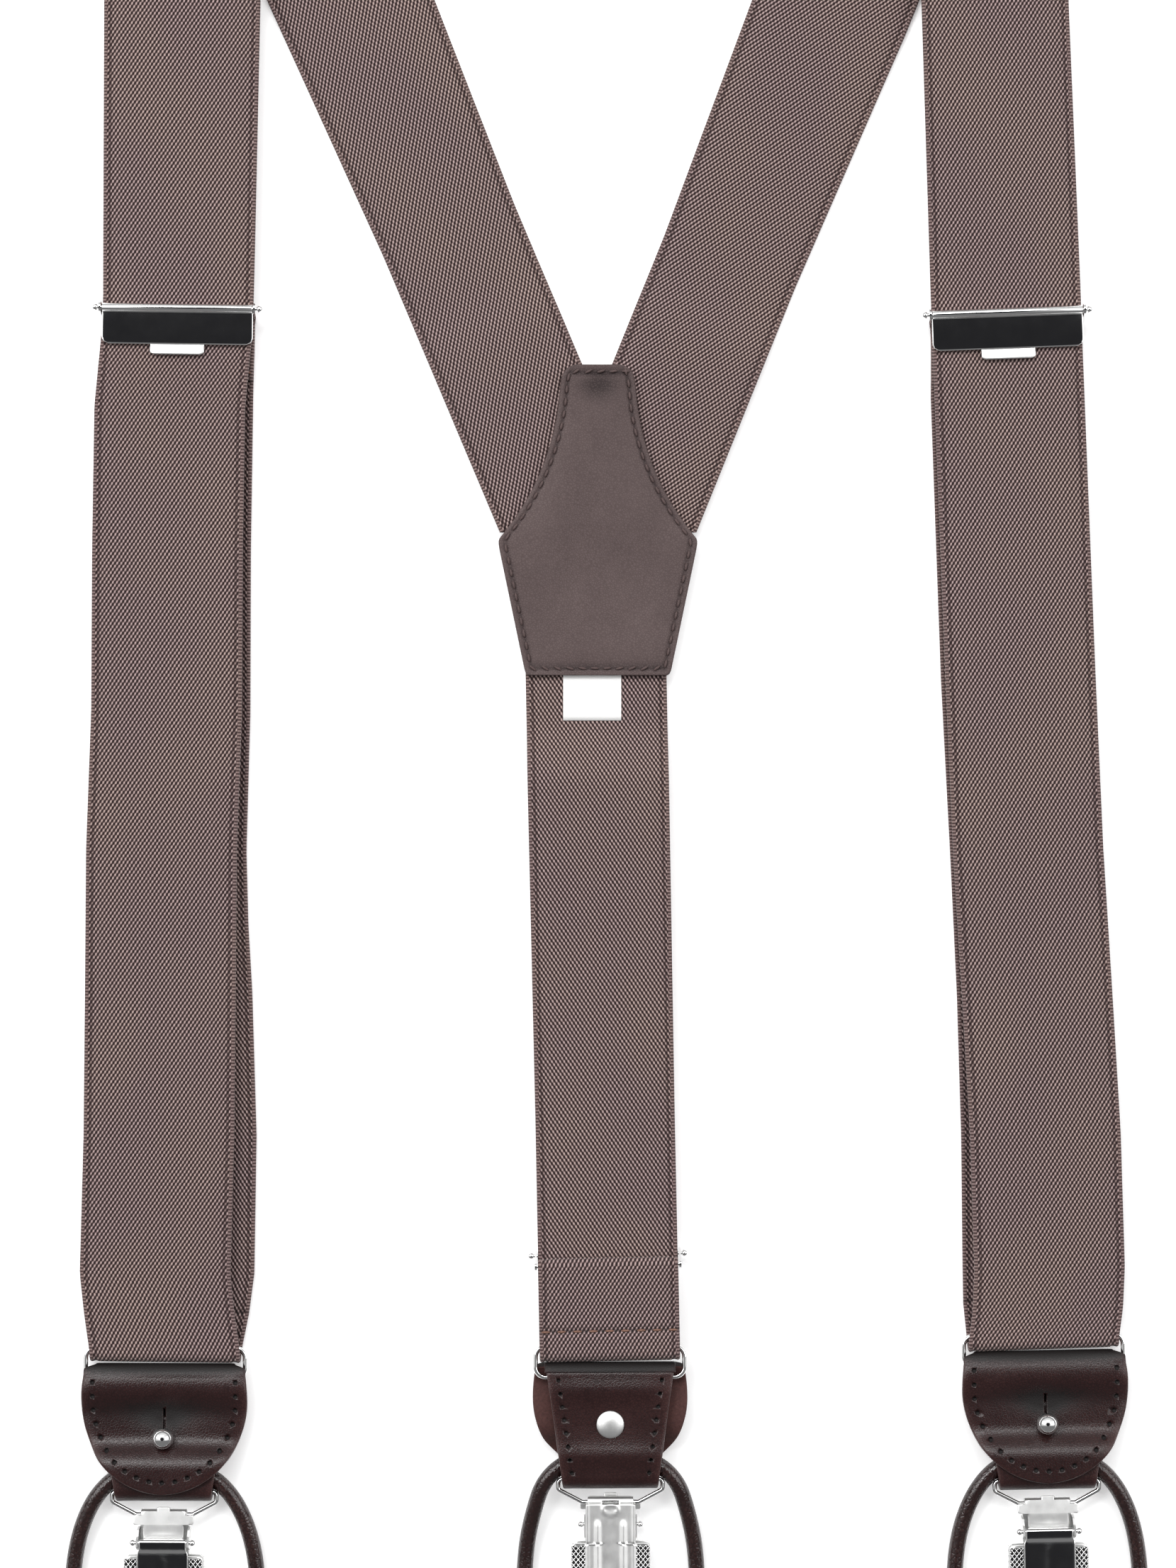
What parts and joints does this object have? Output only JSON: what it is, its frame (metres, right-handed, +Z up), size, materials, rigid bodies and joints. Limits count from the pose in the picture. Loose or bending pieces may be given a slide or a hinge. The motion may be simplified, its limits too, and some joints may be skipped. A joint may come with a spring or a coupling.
{
  "type": "suspenders",
  "caption": "Y-back suspenders of elastic webbing with leather patch, wire rings, sliding adjusters and convertible leather ends that carry a metal clip and button loops.",
  "frame": {"origin": "middle of the flat lay's footprint, on the table", "axes": "+Y to the shoulders, +X to the right seen from above, +Z up from the table"},
  "size_m": [0.2812, 0.5395, 0.0107],
  "materials": {
    "webbing": "twill-woven elastic",
    "patch_leather": "matt stitched",
    "end_leather": "waxed, punched edge",
    "label": "plain woven tape",
    "adjuster_steel": "polished",
    "wire_steel": "polished wire",
    "clip_steel": "polished, knurled wings",
    "grip_plastic": "ribbed"
  },
  "bodies": {
    "yoke": {"yoke_patch_outer": "patch_leather", "yoke_patch_inner": "patch_leather", "label": "label", "left_shoulder_strap": "webbing", "left_front_strap": "webbing", "right_shoulder_strap": "webbing", "right_front_strap": "webbing", "back_strap": "webbing"},
    "front_left_end": {"front_left_strap_loop": "webbing"},
    "front_left_adjuster": {"front_left_adjuster_frame": "adjuster_steel", "front_left_adjuster_pin": "adjuster_steel"},
    "front_left_lever": {"front_left_adjuster_lever": "adjuster_steel"},
    "front_left_ring_body": {"front_left_ring": "wire_steel"},
    "front_left_leather": {"front_left_leather_strip": "end_leather", "front_left_stud": "wire_steel"},
    "front_left_flap_body": {"front_left_flap": "end_leather"},
    "front_left_cord_body": {"front_left_cord": "end_leather", "front_left_button_tabs": "end_leather"},
    "front_left_bail_body": {"front_left_bail": "wire_steel"},
    "front_left_clip": {"front_left_clip_back": "clip_steel", "front_left_clip_pin": "clip_steel", "front_left_grip_pad_back": "grip_plastic"},
    "front_left_jaw": {"front_left_clip_jaw": "clip_steel", "front_left_grip_pad_front": "grip_plastic"},
    "front_left_clip_lever_body": {"front_left_clip_lever": "clip_steel"},
    "front_right_end": {"front_right_strap_loop": "webbing"},
    "front_right_adjuster": {"front_right_adjuster_frame": "adjuster_steel", "front_right_adjuster_pin": "adjuster_steel"},
    "front_right_lever": {"front_right_adjuster_lever": "adjuster_steel"},
    "front_right_ring_body": {"front_right_ring": "wire_steel"},
    "front_right_leather": {"front_right_leather_strip": "end_leather", "front_right_stud": "wire_steel"},
    "front_right_flap_body": {"front_right_flap": "end_leather"},
    "front_right_cord_body": {"front_right_cord": "end_leather", "front_right_button_tabs": "end_leather"},
    "front_right_bail_body": {"front_right_bail": "wire_steel"},
    "front_right_clip": {"front_right_clip_back": "clip_steel", "front_right_clip_pin": "clip_steel", "front_right_grip_pad_back": "grip_plastic"},
    "front_right_jaw": {"front_right_clip_jaw": "clip_steel", "front_right_grip_pad_front": "grip_plastic"},
    "front_right_clip_lever_body": {"front_right_clip_lever": "clip_steel"},
    "back_end": {"back_strap_loop": "webbing"},
    "back_adjuster": {"back_adjuster_frame": "adjuster_steel", "back_adjuster_pin": "adjuster_steel"},
    "back_lever": {"back_adjuster_lever": "adjuster_steel"},
    "back_ring_body": {"back_ring": "wire_steel"},
    "back_leather": {"back_leather_strip": "end_leather", "back_stud": "wire_steel"},
    "back_flap_body": {"back_flap": "end_leather"},
    "back_cord_body": {"back_cord": "end_leather", "back_button_tabs": "end_leather"},
    "back_bail_body": {"back_bail": "wire_steel"},
    "back_clip": {"back_clip_back": "clip_steel", "back_clip_pin": "clip_steel", "back_grip_pad_back": "grip_plastic"},
    "back_jaw": {"back_clip_jaw": "clip_steel", "back_grip_pad_front": "grip_plastic"},
    "back_clip_lever_body": {"back_clip_lever": "clip_steel"}
  },
  "joints": [
    {"name": "front_left_length", "type": "slide", "parent": "yoke", "child": "front_left_end", "axis": [-0.0131, -0.9999, 0], "range_m": [-0.04, 0.225], "deforming": ["front_left_strap_loop"]},
    {"name": "front_left_adjuster_slide", "type": "slide", "parent": "front_left_end", "child": "front_left_adjuster", "axis": [-0.0131, -0.9999, 0], "range_m": [-0.04, 0.225]},
    {"name": "front_left_adjuster_lever_hinge", "type": "hinge", "parent": "front_left_adjuster", "child": "front_left_lever", "pos_m": [-0.10533, 0.09521, 0.007], "axis": [-0.9999, 0.0131, 0], "range_deg": [0, 115]},
    {"name": "front_left_ring_hinge", "type": "hinge", "parent": "front_left_end", "child": "front_left_ring_body", "pos_m": [-0.1087, -0.15992, 0.003], "axis": [1, -0.0035, 0], "range_deg": [-25, 25]},
    {"name": "front_left_leather_hinge", "type": "hinge", "parent": "front_left_ring_body", "child": "front_left_leather", "pos_m": [-0.10873, -0.16742, 0.003], "axis": [1, -0.0035, 0], "range_deg": [-40, 40]},
    {"name": "front_left_flap_hinge", "type": "hinge", "parent": "front_left_leather", "child": "front_left_flap_body", "pos_m": [-0.10873, -0.16822, 0.0045], "axis": [-1, 0.0035, 0], "range_deg": [0, 70], "deforming": ["front_left_flap"]},
    {"name": "front_left_cord_hinge", "type": "hinge", "parent": "front_left_leather", "child": "front_left_cord_body", "pos_m": [-0.1088, -0.18997, 0.00435], "axis": [1, -0.0035, 0], "range_deg": [-40, 40], "deforming": ["front_left_cord"]},
    {"name": "front_left_bail_hinge", "type": "hinge", "parent": "front_left_leather", "child": "front_left_bail_body", "pos_m": [-0.10882, -0.19507, 0.00435], "axis": [1, -0.0035, 0], "range_deg": [-35, 35]},
    {"name": "front_left_clip_hinge", "type": "hinge", "parent": "front_left_bail_body", "child": "front_left_clip", "pos_m": [-0.10884, -0.20067, 0.00435], "axis": [1, -0.0035, 0], "range_deg": [-35, 35]},
    {"name": "front_left_clip_lever_hinge", "type": "hinge", "parent": "front_left_clip", "child": "front_left_clip_lever_body", "pos_m": [-0.10886, -0.20687, 0.0079], "axis": [-1, 0.0035, 0], "range_deg": [0, 110]},
    {"name": "front_left_jaw_hinge", "type": "hinge", "parent": "front_left_clip", "child": "front_left_jaw", "pos_m": [-0.10885, -0.20237, 0.0059], "axis": [-1, 0.0035, 0], "range_deg": [0, 6]},
    {"name": "front_right_length", "type": "slide", "parent": "yoke", "child": "front_right_end", "axis": [0.0366, -0.9993, 0], "range_m": [-0.04, 0.225], "deforming": ["front_right_strap_loop"]},
    {"name": "front_right_adjuster_slide", "type": "slide", "parent": "front_right_end", "child": "front_right_adjuster", "axis": [0.0366, -0.9993, 0], "range_m": [-0.04, 0.225]},
    {"name": "front_right_adjuster_lever_hinge", "type": "hinge", "parent": "front_right_adjuster", "child": "front_right_lever", "pos_m": [0.09785, 0.09416, 0.007], "axis": [-0.9993, -0.0366, 0], "range_deg": [0, 115]},
    {"name": "front_right_ring_hinge", "type": "hinge", "parent": "front_right_end", "child": "front_right_ring_body", "pos_m": [0.10711, -0.15672, 0.003], "axis": [0.9998, 0.0192, 0], "range_deg": [-25, 25]},
    {"name": "front_right_leather_hinge", "type": "hinge", "parent": "front_right_ring_body", "child": "front_right_leather", "pos_m": [0.10726, -0.16422, 0.003], "axis": [0.9998, 0.0192, 0], "range_deg": [-40, 40]},
    {"name": "front_right_flap_hinge", "type": "hinge", "parent": "front_right_leather", "child": "front_right_flap_body", "pos_m": [0.10727, -0.16502, 0.0045], "axis": [-0.9998, -0.0192, 0], "range_deg": [0, 70], "deforming": ["front_right_flap"]},
    {"name": "front_right_cord_hinge", "type": "hinge", "parent": "front_right_leather", "child": "front_right_cord_body", "pos_m": [0.1077, -0.18717, 0.00435], "axis": [0.9998, 0.0192, 0], "range_deg": [-40, 40], "deforming": ["front_right_cord"]},
    {"name": "front_right_bail_hinge", "type": "hinge", "parent": "front_right_leather", "child": "front_right_bail_body", "pos_m": [0.1078, -0.19227, 0.00435], "axis": [0.9998, 0.0192, 0], "range_deg": [-35, 35]},
    {"name": "front_right_clip_hinge", "type": "hinge", "parent": "front_right_bail_body", "child": "front_right_clip", "pos_m": [0.1079, -0.19786, 0.00435], "axis": [0.9998, 0.0192, 0], "range_deg": [-35, 35]},
    {"name": "front_right_clip_lever_hinge", "type": "hinge", "parent": "front_right_clip", "child": "front_right_clip_lever_body", "pos_m": [0.10802, -0.20406, 0.0079], "axis": [-0.9998, -0.0192, 0], "range_deg": [0, 110]},
    {"name": "front_right_jaw_hinge", "type": "hinge", "parent": "front_right_clip", "child": "front_right_jaw", "pos_m": [0.10794, -0.19956, 0.0059], "axis": [-0.9998, -0.0192, 0], "range_deg": [0, 6]},
    {"name": "back_length", "type": "slide", "parent": "yoke", "child": "back_end", "axis": [0.0202, -0.9998, 0], "range_m": [-0.018, 0], "deforming": ["back_strap_loop"]},
    {"name": "back_adjuster_slide", "type": "slide", "parent": "back_end", "child": "back_adjuster", "axis": [0.0202, -0.9998, 0], "range_m": [-0.018, 0]},
    {"name": "back_adjuster_lever_hinge", "type": "hinge", "parent": "back_adjuster", "child": "back_lever", "pos_m": [0.00007, -0.13688, 0.0037], "axis": [0.9998, 0.0202, 0], "range_deg": [0, 115]},
    {"name": "back_ring_hinge", "type": "hinge", "parent": "back_end", "child": "back_ring_body", "pos_m": [0.00057, -0.15882, 0.0077], "axis": [-1, -0.0035, 0], "range_deg": [-25, 25]},
    {"name": "back_leather_hinge", "type": "hinge", "parent": "back_ring_body", "child": "back_leather", "pos_m": [0.0006, -0.16632, 0.0077], "axis": [-1, -0.0035, 0], "range_deg": [-40, 40]},
    {"name": "back_flap_hinge", "type": "hinge", "parent": "back_leather", "child": "back_flap_body", "pos_m": [0.0006, -0.16712, 0.0062], "axis": [1, 0.0035, 0], "range_deg": [0, 70], "deforming": ["back_flap"]},
    {"name": "back_cord_hinge", "type": "hinge", "parent": "back_leather", "child": "back_cord_body", "pos_m": [0.00067, -0.18647, 0.00635], "axis": [-1, -0.0035, 0], "range_deg": [-40, 40], "deforming": ["back_cord"]},
    {"name": "back_bail_hinge", "type": "hinge", "parent": "back_leather", "child": "back_bail_body", "pos_m": [0.00069, -0.19157, 0.00635], "axis": [-1, -0.0035, 0], "range_deg": [-35, 35]},
    {"name": "back_clip_hinge", "type": "hinge", "parent": "back_bail_body", "child": "back_clip", "pos_m": [0.00071, -0.19717, 0.00635], "axis": [-1, -0.0035, 0], "range_deg": [-35, 35]},
    {"name": "back_clip_lever_hinge", "type": "hinge", "parent": "back_clip", "child": "back_clip_lever_body", "pos_m": [0.00073, -0.20337, 0.0028], "axis": [1, 0.0035, 0], "range_deg": [0, 110]},
    {"name": "back_jaw_hinge", "type": "hinge", "parent": "back_clip", "child": "back_jaw", "pos_m": [0.00071, -0.19887, 0.0048], "axis": [1, 0.0035, 0], "range_deg": [0, 6]}
  ],
  "couplings": [
    {"joint": "front_left_adjuster_slide", "follows": "front_left_length", "ratio": 1},
    {"joint": "front_left_jaw_hinge", "follows": "front_left_clip_lever_hinge", "ratio": 0.054545},
    {"joint": "front_right_adjuster_slide", "follows": "front_right_length", "ratio": 1},
    {"joint": "front_right_jaw_hinge", "follows": "front_right_clip_lever_hinge", "ratio": 0.054545},
    {"joint": "back_adjuster_slide", "follows": "back_length", "ratio": 1},
    {"joint": "back_jaw_hinge", "follows": "back_clip_lever_hinge", "ratio": 0.054545}
  ]
}
